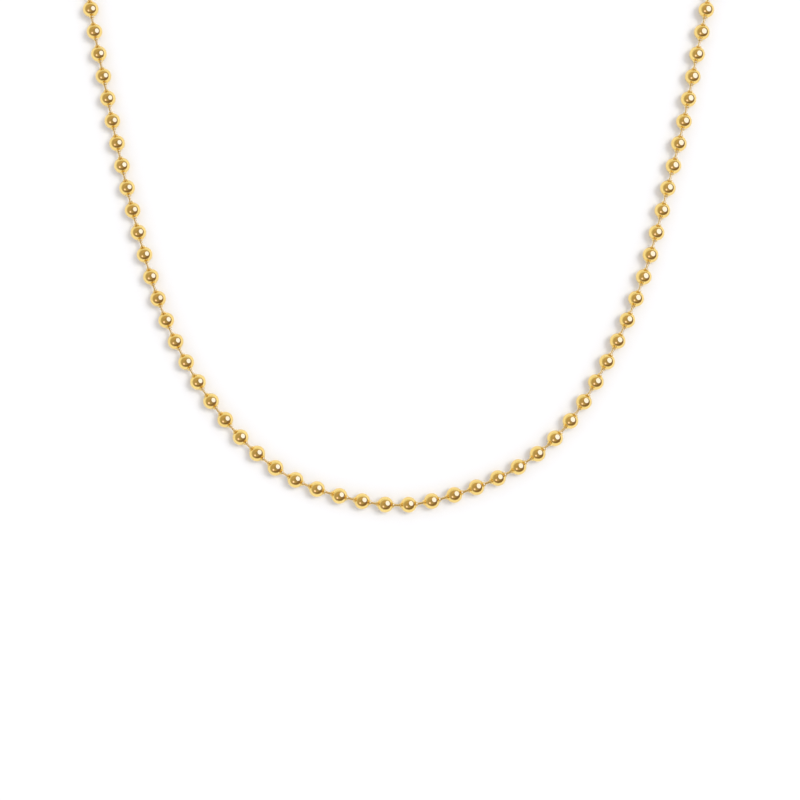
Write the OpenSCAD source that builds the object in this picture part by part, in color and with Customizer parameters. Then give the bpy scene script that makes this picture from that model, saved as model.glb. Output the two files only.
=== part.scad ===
// Ball chain necklace, laid out flat in one closed loop.
// Hollow balls ride on short wire links whose heads are trapped inside them.
// An open sleeve joins the two end balls at the back of the neck.
// Millimetres, +Z up, the surface it lies on at z = 0, the loop centred on the origin.

/* [Necklace] */
// Length of the closed loop along the middle of the chain
necklace_length = 459; // [380:1:620]

/* [Balls] */
// Outside diameter of a ball
ball_d = 3; // [2.6:0.1:3.6]
// Thickness of a ball's sheet metal wall
ball_wall = 0.25; // [0.15:0.05:0.35]
// How far the neck round each hole stands out of the ball
neck_out = 0.2; // [0.1:0.05:0.3]
// Thickness of the neck's wall
neck_wall = 0.1; // [0.08:0.02:0.2]

/* [Links] */
// Diameter of the link's wire
wire_d = 0.45; // [0.35:0.05:0.6]
// Length of wire that shows between the surfaces of two balls
link_gap = 1.37; // [1.1:0.05:1.8]
// Thickness of the head at each end of a link
head_t = 0.3; // [0.2:0.05:0.4]
// How much further out than the hole's edge the head reaches
head_lip = 0.1; // [0.06:0.02:0.16]

/* [Connector] */
// Thickness of the sleeve's sheet metal wall
sleeve_wall = 0.3; // [0.2:0.05:0.4]
// Gap between the two end balls inside the sleeve
end_gap = 1; // [0.8:0.1:1.6]
// Height of the trough's edge above the middle of the balls
trough_edge = 0.3; // [0.1:0.1:0.6]

/* [Clearances] */
// Play all round the wire in a ball's hole
wire_play = 0.14; // [0.12:0.01:0.18]
// Play between a link's head and the inside of the ball
head_play = 0.19; // [0.16:0.01:0.22]
// Play all round an end ball inside the sleeve
sleeve_play = 0.15; // [0.12:0.01:0.25]
// Play all round a ball's neck in the slot of the sleeve
slot_play = 0.22; // [0.2:0.01:0.3]

/* [Hidden] */
$fn = 48;

// The way the chain lies, seen from above, from the connector round by the left side.
// A smooth curve is drawn by these points, which pull on it and lie a little outside it.
route = [
  [-0.5, 85], [-16, 83], [-30.5, 76.5], [-43, 66.5], [-53, 53.5],
  [-58.5, 39], [-60, 24.5], [-59, 10.5], [-56.5, -1], [-54.5, -11],
  [-52.5, -20], [-50.5, -28.5], [-48, -37.5], [-45.5, -46], [-42, -54.5],
  [-37.5, -62.5], [-31.5, -70.5], [-25, -77], [-17.5, -81.5], [-8.5, -84],
  [0.5, -85.5], [9.5, -83.5], [19, -80], [27, -75], [33, -68.5],
  [37.5, -61], [41.5, -53.5], [45, -45.5], [48, -36], [50.5, -26],
  [53, -16.5], [55, -7.5], [56.5, 1], [59, 11], [60, 24],
  [58, 39], [52.5, 54], [42.5, 67], [30, 77], [15, 83]
];
// Straight steps that the curve takes past each point.
route_steps = 8;

ball_r = ball_d / 2;
cavity_r = ball_r - ball_wall;
wire_r = wire_d / 2;
hole_r = wire_r + wire_play;
neck_r = hole_r + neck_wall;
neck_at = ball_r + neck_out;
// The middle of a hole's depth, where the wire pivots.
hole_at = (sqrt(pow(cavity_r, 2) - pow(hole_r, 2)) + neck_at) / 2;
head_r = hole_r + head_lip;
head_edge = head_t / 5;
// From a ball's centre to the face of a head that bears on the inside of the ball.
bearing_at = sqrt(pow(cavity_r - head_play, 2) - pow(head_r, 2));

end_pitch = ball_d + end_gap;
sleeve_bore_r = ball_r + sleeve_play;
sleeve_r = sleeve_bore_r + sleeve_wall;
// The sleeve is a little narrower between its two bulbs.
waist_in = sleeve_play / 3;
slot_half = neck_r + slot_play;
mouth_half = ball_r + sleeve_play;

link_count = round((necklace_length - end_pitch) / (ball_d + link_gap));
pitch = (necklace_length - end_pitch) / link_count;

function knot(i) = route[(i + len(route)) % len(route)];
// A uniform cubic B-spline, from near b at t = 0 to near c at t = 1.
function spline(a, b, c, d, t) =
  let (u = 1 - t)
  (a * pow(u, 3) + b * (4 - 6 * t * t + 3 * pow(t, 3)) + c * (4 - 6 * u * u + 3 * pow(u, 3)) + d * pow(t, 3)) / 6;
bends = [
  for (i = [0 : len(route) - 1], k = [0 : route_steps - 1])
    spline(knot(i - 1), knot(i), knot(i + 1), knot(i + 2), k / route_steps)
];
function bend(i) = bends[i % len(bends)];
run = [for (i = 0, s = 0; i <= len(bends); s = s + norm(bend(i + 1) - bend(i)), i = i + 1) s];
run_x = [for (i = [0 : len(run) - 1]) [run[i], bend(i).x]];
run_y = [for (i = [0 : len(run) - 1]) [run[i], bend(i).y]];
drawn_length = run[len(run) - 1];
route_scale = necklace_length / drawn_length;
// The connector lies this far along the drawn route from its first point.
connector_at = 1.72;

function on_route(s) =
  let (r = (s / route_scale + connector_at + drawn_length) % drawn_length)
  route_scale * [lookup(r, run_x), lookup(r, run_y)];

// The sleeve is fatter than a ball, so the balls next to it rise to its middle over this length.
rise_run = 6 * pitch;
function rise(s) =
  let (
    off = min(s, necklace_length - s) - end_pitch / 2,
    k = max(0, min(1, 1 - off / rise_run))
  )
  (sleeve_r - ball_r) * k * k * (3 - 2 * k);

function ball_run(i) = end_pitch / 2 + i * pitch;
laid = [for (i = [0 : link_count]) on_route(ball_run(i))];
low = [min([for (p = laid) p.x]) - ball_r, min([for (p = laid) p.y]) - ball_r];
high = [max([for (p = laid) p.x]) + ball_r, max([for (p = laid) p.y]) + sleeve_r];
middle = (low + high) / 2;
centres = [
  for (i = [0 : link_count])
    [laid[i].x - middle.x, laid[i].y - middle.y, ball_r + rise(ball_run(i))]
];

function unit(v) = v / norm(v);
function centre(i) = centres[(i + len(centres)) % len(centres)];
// A ball's own axis splits the turn between its two neighbours.
function axis(i) = unit(unit(centre(i) - centre(i - 1)) + unit(centre(i + 1) - centre(i)));

module point_along(v) {
  rotate([0, acos(v.z / norm(v)), atan2(v.y, v.x)]) children();
}

module ball() {
  rotate_extrude() difference() {
    union() {
      circle(r = ball_r);
      square([2 * neck_r, 2 * neck_at], center = true);
    }
    circle(r = cavity_r);
    translate([-ball_d, -ball_d]) square([ball_d + hole_r, 2 * ball_d]);
  }
}

module balls() {
  color("gold")
    for (i = [0 : link_count])
      translate(centre(i)) point_along(axis(i)) ball();
}

module link(length) {
  half = length / 2;
  rotate_extrude() polygon([
    [0, -half], [head_r - head_edge, -half], [head_r, head_edge - half], [head_r, head_t - half],
    [wire_r, head_t - half], [wire_r, half - head_t],
    [head_r, half - head_t], [head_r, half - head_edge], [head_r - head_edge, half], [0, half]
  ]);
}

module links() {
  color("goldenrod")
    for (i = [0 : link_count - 1]) {
      near_hole = centre(i) + axis(i) * hole_at;
      far_hole = centre(i + 1) - axis(i + 1) * hole_at;
      span = far_hole - near_hole;
      translate((near_hole + far_hole) / 2) point_along(span)
        link(norm(span) + 2 * (hole_at - bearing_at + head_t));
    }
}

module bulbs(r, waist_r) {
  for (side = [-1, 1])
    translate([0, side * end_pitch / 2]) circle(r = r);
  square([2 * waist_r, end_pitch], center = true);
}

module sleeve() {
  rotate([0, 90, 0]) rotate_extrude() difference() {
    bulbs(sleeve_r, sleeve_r - waist_in);
    bulbs(sleeve_bore_r, sleeve_bore_r - waist_in);
    translate([-2 * sleeve_r, -end_pitch - sleeve_r]) square([2 * sleeve_r, 2 * (end_pitch + sleeve_r)]);
  }
}

module connector() {
  reach = end_pitch + 2 * sleeve_r;
  across = centre(0) - centre(link_count);
  color("gold")
    translate((centre(0) + centre(link_count)) / 2) point_along(across) rotate([0, -90, 0])
      difference() {
        sleeve();
        // The mouth that a ball drops into.
        translate([-mouth_half, -sleeve_r, trough_edge]) cube([2 * mouth_half, 2 * sleeve_r, sleeve_r]);
        // The slots that the necks and wires slide along to both ends.
        translate([-reach, -slot_half, -slot_half]) cube([2 * reach, 2 * slot_half, 3 * sleeve_r]);
      }
}

balls();
links();
connector();
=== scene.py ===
"""Ball chain necklace of gold plated brass, lying on a white surface in one closed loop."""

import math

import bpy
from bpy.props import FloatProperty, FloatVectorProperty, IntProperty, PointerProperty, StringProperty
from mathutils import Matrix, Vector


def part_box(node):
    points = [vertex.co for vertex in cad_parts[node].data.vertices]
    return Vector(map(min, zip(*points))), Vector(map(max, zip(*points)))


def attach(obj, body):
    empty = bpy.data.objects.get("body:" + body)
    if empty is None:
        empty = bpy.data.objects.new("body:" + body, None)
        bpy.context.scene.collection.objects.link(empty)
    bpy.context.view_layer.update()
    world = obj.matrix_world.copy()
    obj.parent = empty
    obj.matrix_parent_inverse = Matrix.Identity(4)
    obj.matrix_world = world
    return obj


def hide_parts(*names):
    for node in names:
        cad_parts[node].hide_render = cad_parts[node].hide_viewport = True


bl_info = {
    "name": "Ball Chain Necklace",
    "version": (1, 0, 0),
    "blender": (4, 5, 0),
    "location": "View3D > Sidebar > Necklace",
    "description": "Turns the balls, links and sleeve of a gold plated ball chain, laid in a loop",
    "category": "Add Mesh",
}

MM = 0.001
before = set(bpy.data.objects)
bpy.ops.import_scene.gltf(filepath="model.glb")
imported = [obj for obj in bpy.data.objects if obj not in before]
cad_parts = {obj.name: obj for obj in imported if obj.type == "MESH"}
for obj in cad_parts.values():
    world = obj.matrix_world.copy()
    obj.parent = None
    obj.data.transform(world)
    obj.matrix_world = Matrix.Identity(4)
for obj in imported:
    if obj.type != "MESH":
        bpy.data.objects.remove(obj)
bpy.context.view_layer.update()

# What turned_solids has measured so far, by node.
MEASURED = {}
# Points closer than this are one point.
SAME_POINT = 1e-7
# The frame's loose triangles are joined where their corners lie this close.
SAME_CORNER = 0.001 * MM
# Edges that bend more than this stay crisp.
SHARP_EDGE = math.radians(50)

# How many rings of faces the arcs of a ball's outside, its inside and a sleeve's bulb have.
BALL_RINGS = 12
CAVITY_RINGS = 6
BULB_RINGS = 14
# How many faces lie across a rounded edge.
ROUND_FACES = 2
# The necks' satin and their painted highlight, a paler gold, reach this far past their root,
# on to the ball.
NECK_MASK_REACH = 0.06 * MM

# The plate's thickness drifts over this length, about two balls.
PLATE_DRIFT = 9 * MM
# Heights of the marks that tumbling leaves on a ball and of the die's lines on the wire.
TUMBLE_HEIGHT = 0.002 * MM
LINE_HEIGHT = 0.003 * MM
# Places on the wire are squeezed to this share along it before they meet the marks' pattern, so
# that the die's lines run about 33 times longer than they are wide.
DRAWN_OUT = 0.03
# Most of the marks' pattern lies between these values, over which the metal's roughness goes
# from the first to the second of these shares.
MARK_VALUES = (0.3, 0.7)
MARK_DULLNESS = (0.8, 1.3)
# How much of the marks' height shows in what the metal reflects.
MARK_STRENGTH = 0.5
# A Mix node's sockets for two colours and for their mix, whose names its other sockets share.
COLOUR_A, COLOUR_B, COLOUR_MIX = 6, 7, 2

# Width of the floor in metres.
FLOOR_SIZE = 6
# Size and height of the tooth of the floor's card, its roughness and how little it shines.
CARD_TOOTH = 0.8 * MM
CARD_TOOTH_HEIGHT = 0.005 * MM
CARD_ROUGHNESS = 0.9
CARD_SHINE = 0.1
# The width of sensor that the lens is stated for, in millimetres.
SENSOR_WIDTH = 36
# The camera sees nothing that is nearer than this.
CLIP_START = 10 * MM

# The far softbox that the gold mirrors: its direction, half the angle that it spans and its
# soft edge in radians, its colour, and its strength, where 1 is as bright as pure white.
FAR_SOFTBOX = ((-0.438, -0.496, 0.75), 0.19, 0.08, "DED1FF", 1.9)
# The mirrored room. Heights run from 0 at the horizon to 1 overhead. The walls end at WALL_TOP,
# and higher or lower by the rises and the drop below.
WALL_TOP = 0.161
WALL_RISE_TOWARDS = (-0.74, 0.673, 0)
WALL_RISE_BACK_LEFT = 0.168
WALL_RISE_FRONT_BACK = 0.166
WALL_DROP_SIDES = 0.063
# Half the height of the blur between the walls and the ceiling, and what it gains on the left.
WALL_TOP_BLUR = 0.008
WALL_TOP_BLUR_LEFT = 0.26
LEFT = (-0.945, -0.326, 0)
# The ceiling's dim edge ends between these heights, which sink towards the back left.
CEILING_EDGE_ENDS = (0.227, 0.505)
CEILING_LIFT_BACK_LEFT = 0.413
# The paler parts of the ceiling fade in between these shares of a look towards them.
BACK_LEFT = (-0.534, 0.845, 0)
BACK_CEILING_STARTS = (0.3, 0.42)
FRONT_LEFT = (-0.8, -0.6, 0)
LEFT_CEILING_STARTS = (0.05, 0.4)


def linear(hex_colour):
    """An sRGB colour such as E8C070 as linear red, green, blue and alpha, by the sRGB standard."""
    shares = [int(hex_colour[i : i + 2], 16) / 255 for i in (0, 2, 4)]
    return [c / 12.92 if c <= 0.04045 else ((c + 0.055) / 1.055) ** 2.4 for c in shares] + [1.0]


class MetalSettings(bpy.types.PropertyGroup):
    """Colours and surface of the gold plate."""

    plate: StringProperty(
        name="Plate", description="sRGB colour of the gold plate where it is thick", default="FBDC87"
    )
    thin_plate: StringProperty(
        name="Thin plate", description="sRGB colour where the plate is thinner", default="F5D27C"
    )
    ball_roughness: FloatProperty(
        name="Ball roughness", description="Roughness of the tumbled balls",
        default=0.06, min=0, max=1, subtype="FACTOR"
    )
    neck_roughness: FloatProperty(
        name="Neck roughness", description="Extra roughness of the necks, which tumbling doesn't reach",
        default=0.25, min=0, max=1, subtype="FACTOR"
    )
    # The necks' paler gold is a painted highlight, which lightens the dark reflections on the necks.
    neck_painted_highlight: StringProperty(
        name="Neck plate", description="sRGB colour of the satin gold plate on the necks",
        default="FDE294"
    )
    wire_roughness: FloatProperty(
        name="Wire roughness", description="Roughness of the drawn wire",
        default=0.22, min=0, max=1, subtype="FACTOR"
    )
    tumble_mark: FloatProperty(
        name="Tumbling mark", description="Size of the shallow marks that tumbling leaves on a ball",
        default=0.5 * MM, min=0.01 * MM, unit="LENGTH", subtype="DISTANCE"
    )
    wire_plate: StringProperty(
        name="Wire plate", description="sRGB colour of the gold plate on the wire", default="F7D788"
    )
    thin_wire_plate: StringProperty(
        name="Thin wire plate", description="sRGB colour where the wire's plate is thinner",
        default="F0CB79"
    )
    draw_line: FloatProperty(
        name="Drawing line", description="Spacing of the lines that the die leaves on the wire",
        default=0.08 * MM, min=0.01 * MM, unit="LENGTH", subtype="DISTANCE"
    )


class ShapeSettings(bpy.types.PropertyGroup):
    """Sizes that the frame doesn't give, and how finely the turned pieces are drawn."""

    ball_steps: IntProperty(
        name="Ball steps", description="Faces round a ball", default=28, min=12, max=64
    )
    wire_steps: IntProperty(
        name="Wire steps", description="Faces round a link's wire", default=16, min=8, max=48
    )
    lip_curl: FloatProperty(
        name="Lip curl", description="How far a neck's lip turns in over its hole, towards the wire",
        default=0.09 * MM, min=0, unit="LENGTH", subtype="DISTANCE"
    )
    root_fillet: FloatProperty(
        name="Neck root", description="Width of the curve where a neck grows out of its ball",
        default=0.1 * MM, min=0.01 * MM, unit="LENGTH", subtype="DISTANCE"
    )
    lip_round: FloatProperty(
        name="Neck lip", description="Rounding of a neck's outer lip",
        default=0.1 * MM, min=0.005 * MM, unit="LENGTH", subtype="DISTANCE"
    )
    sleeve_wall: FloatProperty(
        name="Sleeve wall", description="Thickness of the sleeve's sheet metal",
        default=0.3 * MM, min=0.05 * MM, unit="LENGTH", subtype="DISTANCE"
    )
    waist_in: FloatProperty(
        name="Waist", description="How far the sleeve draws in between its bulbs",
        default=0.05 * MM, min=0, unit="LENGTH", subtype="DISTANCE"
    )
    trough_edge: FloatProperty(
        name="Trough edge", description="Height of the sleeve's open edge above its middle",
        default=0.3 * MM, min=0, unit="LENGTH", subtype="DISTANCE"
    )
    slot_play: FloatProperty(
        name="Slot play", description="Play all round a ball's neck in the slots at the sleeve's ends",
        default=0.22 * MM, min=0.05 * MM, unit="LENGTH", subtype="DISTANCE"
    )
    sleeve_steps: IntProperty(
        name="Sleeve steps", description="Faces round the sleeve", default=64, min=24, max=128
    )
    sheet_round: FloatProperty(
        name="Sheet edge", description="Rounding of the sleeve's cut edges",
        default=0.03 * MM, min=0.005 * MM, unit="LENGTH", subtype="DISTANCE"
    )


class StudioSettings(bpy.types.PropertyGroup):
    """Camera, floor and lights."""

    target: FloatVectorProperty(
        name="Target", description="Point at the middle of the picture",
        default=(0.23 * MM, -65.24 * MM, 1.5 * MM), unit="LENGTH", subtype="TRANSLATION"
    )
    distance: FloatProperty(
        name="Distance", description="From the camera to the target",
        default=416.67 * MM, min=50 * MM, unit="LENGTH", subtype="DISTANCE"
    )
    elevation: FloatProperty(
        name="Elevation", description="Angle of the view above the floor",
        default=math.radians(86), min=0, max=math.pi / 2, unit="ROTATION"
    )
    lens: FloatProperty(
        name="Lens", description="Focal length on a 36 mm wide sensor, in millimetres",
        default=100, min=10
    )
    key_from: FloatVectorProperty(
        name="Key from", description="Direction that the key light comes from",
        default=(0.48, 0.17, 0.86), subtype="DIRECTION"
    )
    key_spread: FloatProperty(
        name="Key spread", description="Angle that the key light spans, which softens its shadows",
        default=math.radians(25), min=0, max=math.pi, unit="ROTATION"
    )
    key_strength: FloatProperty(
        name="Key strength",
        description="Light that falls square on to a surface, in watts per square metre",
        default=1.2, min=0
    )
    key_colour: StringProperty(
        name="Key colour", description="sRGB colour of the key light", default="FFFEFC"
    )
    softbox_from: FloatVectorProperty(
        name="Softbox from", description="Direction of the near softbox that the gold mirrors",
        default=(0.612, 0.254, 0.749), subtype="DIRECTION"
    )
    softbox_distance: FloatProperty(
        name="Softbox distance", description="From the near softbox to the target",
        default=300 * MM, min=50 * MM, unit="LENGTH", subtype="DISTANCE"
    )
    softbox_spread: FloatProperty(
        name="Softbox spread", description="Angle that the near softbox spans, seen from the target",
        default=math.radians(66), min=0, max=math.pi, unit="ROTATION"
    )
    softbox_strength: FloatProperty(
        name="Softbox strength", description="Brightness of the near softbox, where 1 is pure white",
        default=2.8, min=0
    )
    softbox_colour: StringProperty(
        name="Softbox colour", description="sRGB colour of the near softbox", default="8FA4FF"
    )
    floor_colour: StringProperty(
        name="Floor", description="sRGB colour of the floor", default="F4F4F4"
    )
    fill: FloatProperty(
        name="Fill", description="Light from all round, beside the key light", default=0.87, min=0
    )
    fill_colour: StringProperty(
        name="Fill colour", description="sRGB colour of the light from all round", default="F8F9FE"
    )
    walls: StringProperty(
        name="Walls", description="sRGB colour of the walls that the gold mirrors", default="EEEEEE"
    )
    ceiling_edge: StringProperty(
        name="Ceiling edge", description="sRGB colour of the ceiling next to the walls",
        default="887364"
    )
    front_ceiling: StringProperty(
        name="Front ceiling", description="sRGB colour of the ceiling overhead and in front",
        default="A69888"
    )
    left_ceiling: StringProperty(
        name="Left ceiling", description="sRGB colour of the ceiling in front on the left",
        default="BCAB92"
    )
    back_ceiling: StringProperty(
        name="Back ceiling", description="sRGB colour of the ceiling at the back on the left",
        default="C4B191"
    )


class Turned:
    """Where a turned piece lies and what it measures, read from its solid in the frame.

    Its two ends are what lies furthest from the middle of its box, and its axis joins their middles.
    """

    # A point belongs to an end past the first of these shares of the furthest distance, and to the
    # rim of an end past the second of these shares of the reach.
    END_SHARE = 0.95
    RIM_SHARE = 0.995
    # A point lies on the axis up to the first of these shares of the girth, and on the widest edge
    # past the second.
    AXIS_SHARE = 0.1
    WIDEST_SHARE = 0.99

    def __init__(self, solid):
        points = [v.co.copy() for v in solid.data.vertices]
        low = Vector([min(p[i] for p in points) for i in range(3)])
        high = Vector([max(p[i] for p in points) for i in range(3)])
        box_centre = (low + high) / 2
        far = max((p - box_centre).length for p in points)
        rims = [p for p in points if (p - box_centre).length > self.END_SHARE * far]
        one_end = [p for p in rims if (p - box_centre).dot(rims[0] - box_centre) > 0]
        other_end = [p for p in rims if (p - box_centre).dot(rims[0] - box_centre) < 0]
        first = sum(one_end, Vector()) / len(one_end)
        second = sum(other_end, Vector()) / len(other_end)
        self.centre = (first + second) / 2
        self.axis = (first - second).normalized()
        self.profile = []
        for p in points:
            along = (p - self.centre).dot(self.axis)
            across = (p - self.centre - along * self.axis).length
            self.profile.append((along, across))
        self.reach = max(along for along, across in self.profile)
        self.girth = max(across for along, across in self.profile)

    def rim(self):
        """The smallest and largest distance off the axis at the piece's end."""
        end = [across for along, across in self.profile if along > self.RIM_SHARE * self.reach]
        return min(end), max(end)

    def thinnest(self):
        """The smallest distance off the axis of what doesn't lie on it."""
        return min(across for along, across in self.profile if across > self.AXIS_SHARE * self.girth)

    def widest_run(self):
        """Where along the axis the widest edge of one end begins and stops."""
        widest = self.WIDEST_SHARE * self.girth
        edge = [along for along, across in self.profile if along > 0 and across > widest]
        return min(edge), max(edge)


def only(piece):
    """Selects one object and nothing else."""
    bpy.ops.object.select_all(action="DESELECT")
    piece.select_set(True)
    bpy.context.view_layer.objects.active = piece


def turned_solids(node):
    """Every loose solid of a CAD node, measured once, from a copy that is deleted again."""
    if node in MEASURED:
        return MEASURED[node]
    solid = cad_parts[node].copy()
    solid.data = solid.data.copy()
    bpy.context.collection.objects.link(solid)
    only(solid)
    bpy.ops.object.mode_set(mode="EDIT")
    bpy.ops.mesh.select_all(action="SELECT")
    bpy.ops.mesh.remove_doubles(threshold=SAME_CORNER)
    bpy.ops.mesh.separate(type="LOOSE")
    bpy.ops.object.mode_set(mode="OBJECT")
    parts = list(bpy.context.selected_objects)
    MEASURED[node] = [Turned(part) for part in parts]
    for part in parts:
        bpy.data.meshes.remove(part.data)
    return MEASURED[node]


def arc(radius, start, stop, steps):
    """Points (off the axis, along the axis) of an arc, by its angle from the equator."""
    angles = [start + (stop - start) * k / steps for k in range(steps + 1)]
    return [(radius * math.cos(a), radius * math.sin(a)) for a in angles]


def turn(name, outline, steps, closed=False, rounded=()):
    """Turns an outline of (off the axis, along the axis) points about Z.

    A closed outline joins its ends. Each row of rounded is a width, a number of faces and the
    corners that they round. Each point keeps its place on the model as own_place, for patterns.
    """
    # The outline is extruded from one point, which a plane is merged to.
    bpy.ops.object.select_all(action="DESELECT")
    bpy.ops.mesh.primitive_plane_add(size=MM)
    piece = bpy.context.object
    piece.name = piece.data.name = name
    bpy.ops.object.mode_set(mode="EDIT")
    bpy.ops.mesh.select_all(action="SELECT")
    bpy.ops.mesh.merge(type="CENTER")
    bpy.ops.transform.translate(value=(outline[0][0], 0, outline[0][1]))
    for (r0, z0), (r1, z1) in zip(outline, outline[1:]):
        bpy.ops.mesh.extrude_region_move(TRANSFORM_OT_translate={"value": (r1 - r0, 0, z1 - z0)})
    if closed:
        bpy.ops.object.mode_set(mode="OBJECT")
        for corner in (0, len(outline) - 1):
            piece.data.vertices[corner].select = True
        bpy.ops.object.mode_set(mode="EDIT")
        bpy.ops.mesh.edge_face_add()
    for width, segments, corners in rounded:
        bpy.ops.mesh.select_all(action="DESELECT")
        bpy.ops.object.mode_set(mode="OBJECT")
        for v in piece.data.vertices:
            v.select = any((v.co - Vector((r, 0, z))).length < SAME_POINT for r, z in corners)
        bpy.ops.object.mode_set(mode="EDIT")
        bpy.ops.mesh.bevel(offset=width, segments=segments, affect="VERTICES")
    bpy.ops.mesh.select_all(action="SELECT")
    bpy.ops.mesh.spin(steps=steps, angle=math.tau, axis=(0, 0, 1), center=(0, 0, 0))
    bpy.ops.mesh.select_all(action="SELECT")
    bpy.ops.mesh.remove_doubles(threshold=SAME_POINT)
    bpy.ops.mesh.normals_make_consistent(inside=False)
    bpy.ops.object.mode_set(mode="OBJECT")
    own_place = piece.data.attributes.new("own_place", "FLOAT_VECTOR", "POINT")
    for corner, own in zip(piece.data.vertices, own_place.data):
        own.vector = corner.co
    return piece


def lay(model, turned):
    """A copy of a model, with its own mesh, laid along a turned solid's axis."""
    copy = model.copy()
    copy.data = model.data.copy()
    bpy.context.collection.objects.link(copy)
    lie = Vector((0, 0, 1)).rotation_difference(turned.axis).to_matrix().to_4x4()
    copy.data.transform(Matrix.Translation(turned.centre) @ lie)
    return copy


def string_up(name, model, solids, node, material):
    """One piece of all the copies of a model, in place of a CAD node."""
    copies = [lay(model, solid) for solid in solids]
    bpy.data.meshes.remove(model.data)
    bpy.ops.object.select_all(action="DESELECT")
    for copy in copies:
        copy.select_set(True)
    bpy.context.view_layer.objects.active = copies[0]
    bpy.ops.object.join()
    finish(bpy.context.object, name, node, material)


def finish(piece, name, node, material):
    """Names a piece, smooths it, gives it its metal and sets it in place of its CAD node."""
    only(piece)
    bpy.ops.object.shade_smooth_by_angle(angle=SHARP_EDGE)
    piece.name = piece.data.name = name
    piece.data.materials.clear()
    piece.data.materials.append(material)
    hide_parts(node)
    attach(piece, "root")


def new_material(name):
    """An empty node material and its node tree."""
    material = bpy.data.materials.new(name)
    material.use_nodes = True
    tree = material.node_tree
    tree.nodes.clear()
    return material, tree


def add(tree, kind, links=None, **settings):
    """Adds a node. links maps an input's name or number to an output or a value."""
    node = tree.nodes.new(kind)
    for key, value in settings.items():
        setattr(node, key, value)
    for key, source in (links or {}).items():
        if isinstance(source, bpy.types.NodeSocket):
            tree.links.new(source, node.inputs[key])
        else:
            node.inputs[key].default_value = source
    return node


def gold_plate(name, plate, thin_plate, roughness, marks, mark_height, drawn=False, necked=False):
    """Hard gold plate over brass: a yellow mirror with faint marks, deeper in colour where it is thin.

    drawn stretches the marks into lines along the wire. necked gives the necks their satin and a
    painted highlight: a paler gold that lightens their dark reflections.
    """
    material, tree = new_material(name)
    place = add(tree, "ShaderNodeTexCoord").outputs["Object"]
    # The plate's thickness drifts, and each ball or link comes out of the bath a little different.
    thickness = add(
        tree, "ShaderNodeTexNoise", {"Vector": place, "Scale": 1 / PLATE_DRIFT, "Detail": 2.0}
    ).outputs["Fac"]
    own = add(tree, "ShaderNodeNewGeometry").outputs["Random Per Island"]
    both = add(tree, "ShaderNodeMath", {0: thickness, 1: own}, operation="MULTIPLY").outputs[0]
    colour = add(
        tree, "ShaderNodeMix", {0: both, COLOUR_A: linear(plate), COLOUR_B: linear(thin_plate)},
        data_type="RGBA"
    ).outputs[COLOUR_MIX]
    run = place
    if drawn:
        own_place = add(tree, "ShaderNodeAttribute", attribute_name="own_place").outputs["Vector"]
        run = add(
            tree, "ShaderNodeMapping", {"Vector": own_place, "Scale": (1, 1, DRAWN_OUT)}
        ).outputs["Vector"]
    mark = add(
        tree, "ShaderNodeTexNoise", {"Vector": run, "Scale": 1 / marks, "Detail": 3.0, "Roughness": 0.5}
    ).outputs["Fac"]
    dull = add(
        tree, "ShaderNodeMapRange",
        {"Value": mark, "From Min": MARK_VALUES[0], "From Max": MARK_VALUES[1],
         "To Min": MARK_DULLNESS[0] * roughness, "To Max": MARK_DULLNESS[1] * roughness}
    ).outputs["Result"]
    # On the necks the metal turns satin, and its colour is mixed towards a paler gold: a painted
    # highlight that lightens their dark reflections.
    if necked:
        metal = bpy.context.scene.necklace_metal
        satin_and_painted_highlight = add(tree, "ShaderNodeAttribute", attribute_name="satin_and_painted_highlight").outputs["Fac"]
        dull = add(
            tree, "ShaderNodeMath", {0: satin_and_painted_highlight, 1: metal.neck_roughness, 2: dull},
            operation="MULTIPLY_ADD"
        ).outputs[0]
        colour = add(
            tree, "ShaderNodeMix",
            {0: satin_and_painted_highlight, COLOUR_A: colour, COLOUR_B: linear(metal.neck_painted_highlight)}, data_type="RGBA"
        ).outputs[COLOUR_MIX]
    bump = add(
        tree, "ShaderNodeBump", {"Height": mark, "Distance": mark_height, "Strength": MARK_STRENGTH}
    ).outputs["Normal"]
    shader = add(
        tree, "ShaderNodeBsdfPrincipled",
        {"Base Color": colour, "Metallic": 1.0, "Roughness": dull, "Normal": bump}
    )
    add(tree, "ShaderNodeOutputMaterial", {"Surface": shader.outputs["BSDF"]})
    return material


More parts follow.
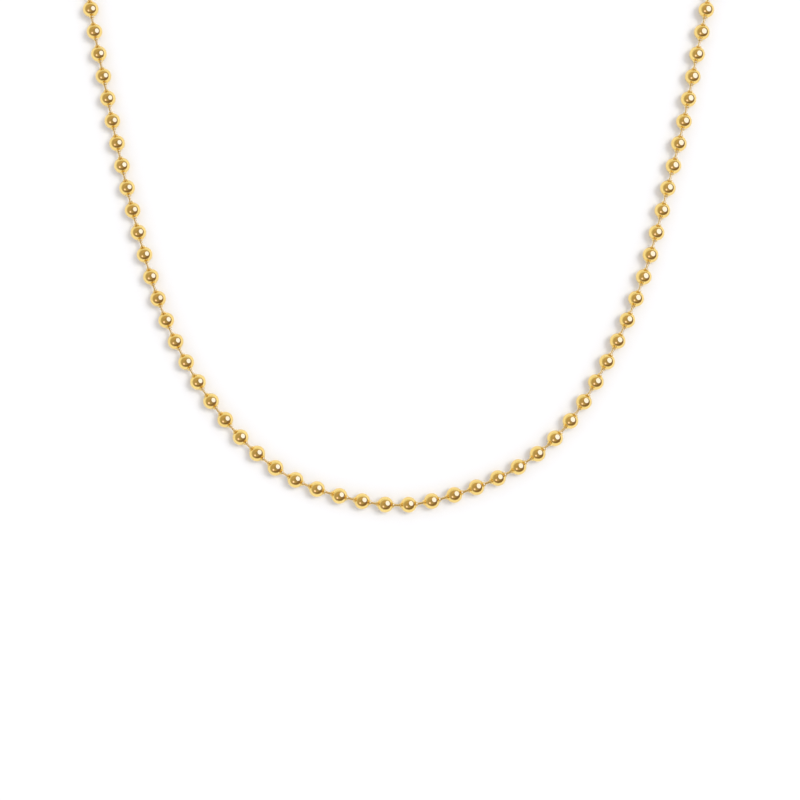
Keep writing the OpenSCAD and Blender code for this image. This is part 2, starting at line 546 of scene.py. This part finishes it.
class NECKLACE_OT_balls(bpy.types.Operator):
    """Turns one hollow ball with a neck at both holes, and lays a copy over every ball of the frame"""

    bl_idname = "necklace.balls"
    bl_label = "Balls"

    def execute(self, context):
        shape = context.scene.necklace_shape
        metal = context.scene.necklace_metal
        solids = turned_solids("balls")
        ball = solids[0]
        hole, neck = ball.rim()
        root = math.acos(neck / ball.girth)
        cavity = min(math.hypot(along, across) for along, across in ball.profile)
        inside = math.acos(hole / cavity)
        # The outline runs down the ball's outside and up its inside, with a neck at both ends.
        lips = [(neck, -ball.reach), (neck, ball.reach)]
        outline = arc(ball.girth, root, -root, BALL_RINGS)
        roots = [outline[0], outline[-1]]
        outline += [lips[0], (hole - shape.lip_curl, -ball.reach), (hole, shape.lip_curl - ball.reach)]
        outline += arc(cavity, -inside, inside, CAVITY_RINGS)
        outline += [(hole, ball.reach - shape.lip_curl), (hole - shape.lip_curl, ball.reach), lips[1]]
        model = turn(
            "ball", outline, shape.ball_steps, closed=True,
            rounded=((shape.root_fillet, ROUND_FACES, roots), (shape.lip_round, ROUND_FACES, lips))
        )
        # This mask marks the necks for their satin and for their painted highlight.
        satin_and_painted_highlight = model.data.attributes.new("satin_and_painted_highlight", "FLOAT", "POINT")
        neck_mask_from = ball.girth * math.sin(root) - NECK_MASK_REACH
        for corner, share in zip(model.data.vertices, satin_and_painted_highlight.data):
            share.value = 1.0 if abs(corner.co.z) > neck_mask_from else 0.0
        # Gold plate over brass balls that were tumbled bright: a deep yellow mirror, in which shallow
        # marks about half a millimetre across soften the edges of what it reflects. Tumbling doesn't
        # reach the necks and their roots, which stay satin. Their paler gold is a painted highlight,
        # which lightens the dark reflections on the necks.
        plate = gold_plate(
            "gold plate, tumbled bright", metal.plate, metal.thin_plate, metal.ball_roughness,
            metal.tumble_mark, TUMBLE_HEIGHT, necked=True
        )
        string_up("chain_balls", model, solids, "balls", plate)
        return {"FINISHED"}


class NECKLACE_OT_links(bpy.types.Operator):
    """Turns one wire link with its two heads, and lays a copy over every link of the frame"""

    bl_idname = "necklace.links"
    bl_label = "Links"

    def execute(self, context):
        shape = context.scene.necklace_shape
        metal = context.scene.necklace_metal
        solids = turned_solids("links")
        link = solids[0]
        wire = link.thinnest()
        back, front = link.widest_run()
        bevel = link.reach - front
        # Half of the outline, from the face of a head to the first third of the wire.
        third = back / 3
        half = [
            (0, link.reach), (link.girth - bevel, link.reach), (link.girth, front),
            (link.girth, back), (wire, back), (wire, third)
        ]
        outline = half + [(r, -z) for r, z in reversed(half)]
        model = turn("link", outline, shape.wire_steps)
        # Gold plate over brass wire drawn through a die: a duller gold whose lines run along the wire
        # and spread its highlight sideways. The lines are some hundredths of a millimetre apart on
        # the real wire, and are drawn coarser so that they show.
        plate = gold_plate(
            "gold plate, drawn wire", metal.wire_plate, metal.thin_wire_plate, metal.wire_roughness,
            metal.draw_line, LINE_HEIGHT, drawn=True
        )
        string_up("chain_links", model, solids, "links", plate)
        return {"FINISHED"}


class NECKLACE_OT_sleeve(bpy.types.Operator):
    """Turns the sleeve's outside and its bore, and cuts its mouth and the slots at its ends"""

    bl_idname = "necklace.sleeve"
    bl_label = "Sleeve"

    def execute(self, context):
        shape = context.scene.necklace_shape
        metal = context.scene.necklace_metal
        # The sleeve lies midway between the two end balls, along the line that joins them. It rests
        # on the floor, so its radius is the height of its middle.
        low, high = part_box("connector")
        middle = (low + high) / 2
        ends = sorted(turned_solids("balls"), key=lambda b: (b.centre - middle).length)[:2]
        centre = (ends[0].centre + ends[1].centre) / 2
        across = ends[1].centre - ends[0].centre
        if across.x < 0:
            across = -across
        radius = centre.z
        mouth = radius - shape.sleeve_wall
        slot = ends[0].rim()[1] + shape.slot_play
        bulb = across.length / 2
        walls = []
        for name, size in (("sleeve", radius), ("bore", radius - shape.sleeve_wall)):
            waist_angle = math.acos((size - shape.waist_in) / size)
            half = [(r, z + bulb) for r, z in arc(size, math.pi / 2, -waist_angle, BULB_RINGS)]
            walls.append(turn(name, half + [(r, -z) for r, z in reversed(half)], shape.sleeve_steps))
        piece, bore = walls
        # The bore is the sleeve's inner skin, so it faces the axis.
        only(bore)
        bpy.ops.object.mode_set(mode="EDIT")
        bpy.ops.mesh.select_all(action="SELECT")
        bpy.ops.mesh.flip_normals()
        bpy.ops.object.mode_set(mode="OBJECT")
        piece.select_set(True)
        bpy.context.view_layer.objects.active = piece
        bpy.ops.object.join()
        # The boxes that cut the mouth and the slots reach well past the sleeve.
        reach = 2 * radius
        cut_away(piece, (-reach, shape.trough_edge, -mouth), (reach, reach, mouth))
        cut_away(piece, (-slot, -slot, -2 * reach), (slot, reach, 2 * reach))
        across_cuts = ((0, slot), (0, -slot))
        height_cuts = ((1, shape.trough_edge), (1, -slot))
        length_cuts = ((2, mouth), (2, -mouth))
        tidy_cuts(piece, across_cuts + height_cuts + length_cuts)
        bpy.ops.object.mode_set(mode="EDIT")
        bpy.ops.mesh.select_mode(type="EDGE")
        bpy.ops.mesh.select_all(action="DESELECT")
        bpy.ops.mesh.edges_select_sharp(sharpness=SHARP_EDGE)
        bpy.ops.mesh.bevel(
            offset=shape.sheet_round, segments=ROUND_FACES, affect="EDGES", clamp_overlap=True
        )
        bpy.ops.mesh.select_mode(type="VERT")
        bpy.ops.object.mode_set(mode="OBJECT")
        # The model's Z goes along the sleeve, and its Y, where the mouth is, goes up.
        side = across.normalized()
        up = (Vector((0, 0, 1)) - side.z * side).normalized()
        lie = Matrix([up.cross(side), up, side]).transposed().to_4x4()
        piece.data.transform(Matrix.Translation(centre) @ lie)
        # Gold plate over stamped brass sheet, tumbled with the balls: the same mirror as theirs.
        plate = gold_plate(
            "gold plate, stamped sheet", metal.plate, metal.thin_plate, metal.ball_roughness,
            metal.tumble_mark, TUMBLE_HEIGHT
        )
        finish(piece, "chain_sleeve", "connector", plate)
        return {"FINISHED"}


def cut_away(piece, low, high):
    """Cuts a box out of a piece."""
    bpy.ops.object.select_all(action="DESELECT")
    middle = [(a + b) / 2 for a, b in zip(low, high)]
    size = [b - a for a, b in zip(low, high)]
    bpy.ops.mesh.primitive_cube_add(size=1, location=middle, scale=size)
    cutter = bpy.context.object
    only(piece)
    cut = piece.modifiers.new("Cut", "BOOLEAN")
    cut.operation = "DIFFERENCE"
    cut.solver = "EXACT"
    cut.object = cutter
    bpy.ops.object.modifier_apply(modifier="Cut")
    bpy.data.meshes.remove(cutter.data)


def tidy_cuts(piece, planes, reach=0.05 * MM):
    """Draws the corners that lie close to a cut's edge onto it, so that no sliver is left beside it.

    planes holds the axis that each cut's plane stands across, as a number, and its place on it.
    Blender's exact cut leaves the same corners in another order each run, and the first of a close
    group keeps its place. So a few corners beside the cuts lie some hundredths of a millimetre
    apart from run to run.
    """

    def planes_met(v):
        """How many of the cuts' planes a corner lies on."""
        return sum(abs(v.co[axis] - place) < SAME_POINT for axis, place in planes)

    kept = []
    for v in sorted(piece.data.vertices, key=planes_met, reverse=True):
        near = [k for k in kept if (k.co - v.co).length < reach]
        if near:
            v.co = min(near, key=lambda k: (k.co - v.co).length).co
        elif planes_met(v):
            kept.append(v)
    only(piece)
    bpy.ops.object.mode_set(mode="EDIT")
    bpy.ops.mesh.select_all(action="SELECT")
    bpy.ops.mesh.remove_doubles(threshold=SAME_POINT)
    bpy.ops.mesh.dissolve_degenerate(threshold=SAME_POINT)
    bpy.ops.object.mode_set(mode="OBJECT")


def room():
    """Sets what the gold mirrors, what lights the floor from all round, and white for the camera.

    The gold mirrors white walls, a dim brown ceiling and the far softbox. The near one is a lamp.
    """
    studio = bpy.context.scene.necklace_studio
    world = bpy.data.worlds.new("room")
    bpy.context.scene.world = world
    world.use_nodes = True
    tree = world.node_tree
    tree.nodes.clear()
    look = add(tree, "ShaderNodeTexCoord").outputs["Generated"]
    across, along, height = add(tree, "ShaderNodeSeparateXYZ", {0: look}).outputs
    direction, radius, edge, colour, strength = FAR_SOFTBOX

    # How much a look goes in each of these directions, from -1 to 1.
    back_left, front_left, rise, left, to_softbox = [
        add(
            tree, "ShaderNodeVectorMath", {0: look, 1: Vector(way).normalized()},
            operation="DOT_PRODUCT"
        ).outputs["Value"]
        for way in (BACK_LEFT, FRONT_LEFT, WALL_RISE_TOWARDS, LEFT, direction)
    ]

    def over(under, colour, value, low, high):
        """Lays a colour over another where the value is high, with a soft edge from low to high."""
        share = add(
            tree, "ShaderNodeMapRange", {"Value": value, "From Min": low, "From Max": high},
            interpolation_type="SMOOTHSTEP"
        ).outputs["Result"]
        return add(
            tree, "ShaderNodeMix", {0: share, COLOUR_A: under, COLOUR_B: colour}, data_type="RGBA"
        ).outputs[COLOUR_MIX]

    overhead = over(
        linear(studio.front_ceiling), linear(studio.back_ceiling), back_left, *BACK_CEILING_STARTS
    )
    overhead = over(overhead, linear(studio.left_ceiling), front_left, *LEFT_CEILING_STARTS)
    lifted = add(
        tree, "ShaderNodeMath", {0: back_left, 1: CEILING_LIFT_BACK_LEFT, 2: height},
        operation="MULTIPLY_ADD"
    ).outputs[0]
    ceiling = over(linear(studio.ceiling_edge), overhead, lifted, *CEILING_EDGE_ENDS)

    # Squares of how much a look goes to the front or back, and to the sides.
    to_ends = add(tree, "ShaderNodeMath", {0: along, 1: along}, operation="MULTIPLY").outputs[0]
    to_sides = add(tree, "ShaderNodeMath", {0: across, 1: across}, operation="MULTIPLY").outputs[0]
    wall_top = WALL_TOP
    for share, gain in (
        (rise, WALL_RISE_BACK_LEFT), (to_ends, WALL_RISE_FRONT_BACK), (to_sides, -WALL_DROP_SIDES)
    ):
        wall_top = add(
            tree, "ShaderNodeMath", {0: share, 1: gain, 2: wall_top}, operation="MULTIPLY_ADD"
        ).outputs[0]
    above = add(tree, "ShaderNodeMath", {0: height, 1: wall_top}, operation="SUBTRACT").outputs[0]
    leftward = add(tree, "ShaderNodeMath", {0: left, 1: 0.0}, operation="MAXIMUM").outputs[0]
    blur = add(
        tree, "ShaderNodeMath", {0: leftward, 1: WALL_TOP_BLUR_LEFT, 2: WALL_TOP_BLUR},
        operation="MULTIPLY_ADD"
    ).outputs[0]
    blur_below = add(tree, "ShaderNodeMath", {0: blur, 1: -1.0}, operation="MULTIPLY").outputs[0]
    mirrored = over(linear(studio.walls), ceiling, above, blur_below, blur)

    bright = [strength * share for share in linear(colour)[:3]] + [1.0]
    mirrored = over(
        mirrored, bright, to_softbox, math.cos(radius + edge), math.cos(radius - edge)
    )

    path = add(tree, "ShaderNodeLightPath").outputs
    gloss = add(tree, "ShaderNodeBackground", {"Color": mirrored, "Strength": 1.0})
    fill = add(
        tree, "ShaderNodeBackground",
        {"Color": linear(studio.fill_colour), "Strength": studio.fill}
    )
    plain = add(tree, "ShaderNodeBackground", {"Color": linear("FFFFFF"), "Strength": 1.0})
    lit = add(
        tree, "ShaderNodeMixShader", {0: path["Is Glossy Ray"], 1: fill.outputs[0], 2: gloss.outputs[0]}
    )
    seen = add(
        tree, "ShaderNodeMixShader", {0: path["Is Camera Ray"], 1: lit.outputs[0], 2: plain.outputs[0]}
    )
    add(tree, "ShaderNodeOutputWorld", {"Surface": seen.outputs[0]})


class NECKLACE_OT_studio(bpy.types.Operator):
    """Sets the camera, the white floor, the key light, the near softbox and the room"""

    bl_idname = "necklace.studio"
    bl_label = "Studio"

    def execute(self, context):
        studio = context.scene.necklace_studio
        target = Vector(studio.target)
        back = Vector((0, -math.cos(studio.elevation), math.sin(studio.elevation)))
        bpy.ops.object.select_all(action="DESELECT")
        bpy.ops.object.camera_add(
            location=target + back * studio.distance, rotation=(math.pi / 2 - studio.elevation, 0, 0)
        )
        camera = context.object
        camera.name = "camera"
        camera.data.lens = studio.lens
        camera.data.sensor_width = SENSOR_WIDTH
        camera.data.clip_start = CLIP_START
        context.scene.camera = camera

        bpy.ops.object.select_all(action="DESELECT")
        bpy.ops.mesh.primitive_plane_add(size=FLOOR_SIZE)
        floor = context.object
        floor.name = "floor"
        # Matt white card with a faint tooth: it shows only as a soft white ground.
        paper, tree = new_material("white card")
        place = add(tree, "ShaderNodeTexCoord").outputs["Object"]
        grain = add(
            tree, "ShaderNodeTexNoise", {"Vector": place, "Scale": 1 / CARD_TOOTH}
        ).outputs["Fac"]
        bump = add(
            tree, "ShaderNodeBump", {"Height": grain, "Distance": CARD_TOOTH_HEIGHT}
        ).outputs["Normal"]
        card = add(
            tree, "ShaderNodeBsdfPrincipled",
            {"Base Color": linear(studio.floor_colour), "Roughness": CARD_ROUGHNESS,
             "Specular IOR Level": CARD_SHINE, "Normal": bump}
        )
        add(tree, "ShaderNodeOutputMaterial", {"Surface": card.outputs["BSDF"]})
        floor.data.materials.append(paper)

        # The key light stands so far off that the whole floor gets the same light, as from a sun.
        # Glossy reflections leave it out, because the near softbox stands for it there.
        way = Vector(studio.key_from).normalized()
        bpy.ops.object.select_all(action="DESELECT")
        bpy.ops.object.light_add(
            type="SUN", location=target + way, rotation=way.to_track_quat("Z", "Y").to_euler()
        )
        key = context.object
        key.name = "key"
        key.data.angle = studio.key_spread
        key.data.energy = studio.key_strength
        key.data.color = linear(studio.key_colour)[:3]
        key.visible_glossy = False

        # The near softbox shows only in glossy reflections. It stands so close that its reflection
        # wanders from ball to ball. A flat lamp's brightness is its power over pi times its area.
        way = Vector(studio.softbox_from).normalized()
        width = 2 * studio.softbox_distance * math.tan(studio.softbox_spread / 2)
        area = math.pi * width ** 2 / 4
        bpy.ops.object.select_all(action="DESELECT")
        bpy.ops.object.light_add(
            type="AREA", location=target + way * studio.softbox_distance,
            rotation=way.to_track_quat("Z", "Y").to_euler()
        )
        softbox = context.object
        softbox.name = "softbox"
        softbox.data.shape = "DISK"
        softbox.data.size = width
        softbox.data.energy = studio.softbox_strength * math.pi * area
        softbox.data.color = linear(studio.softbox_colour)[:3]
        softbox.visible_diffuse = False
        softbox.visible_camera = False
        room()
        context.scene.view_settings.view_transform = "Standard"
        return {"FINISHED"}


class NECKLACE_PT_panel(bpy.types.Panel):
    """Lists the necklace's pieces in the 3D view's sidebar"""

    bl_label = "Ball chain necklace"
    bl_idname = "NECKLACE_PT_panel"
    bl_space_type = "VIEW_3D"
    bl_region_type = "UI"
    bl_category = "Necklace"

    def draw(self, context):
        scene = context.scene
        for group in (scene.necklace_shape, scene.necklace_metal, scene.necklace_studio):
            box = self.layout.box()
            for name in group.bl_rna.properties.keys():
                if name not in ("rna_type", "name"):
                    box.prop(group, name)
        for operator in OPERATORS:
            self.layout.operator(operator.bl_idname)


OPERATORS = (NECKLACE_OT_studio, NECKLACE_OT_balls, NECKLACE_OT_links, NECKLACE_OT_sleeve)
CLASSES = (MetalSettings, ShapeSettings, StudioSettings) + OPERATORS + (NECKLACE_PT_panel,)


def register():
    """Registers the classes and gives the scene their settings."""
    for cls in CLASSES:
        bpy.utils.register_class(cls)
    bpy.types.Scene.necklace_metal = PointerProperty(type=MetalSettings)
    bpy.types.Scene.necklace_shape = PointerProperty(type=ShapeSettings)
    bpy.types.Scene.necklace_studio = PointerProperty(type=StudioSettings)


def unregister():
    """Takes the settings and the classes away again."""
    del bpy.types.Scene.necklace_studio
    del bpy.types.Scene.necklace_shape
    del bpy.types.Scene.necklace_metal
    for cls in reversed(CLASSES):
        bpy.utils.unregister_class(cls)


def main():
    """Builds the stage and the pieces."""
    register()
    bpy.ops.necklace.studio()
    bpy.ops.necklace.balls()
    bpy.ops.necklace.links()
    bpy.ops.necklace.sleeve()


if __name__ == "__main__":
    main()
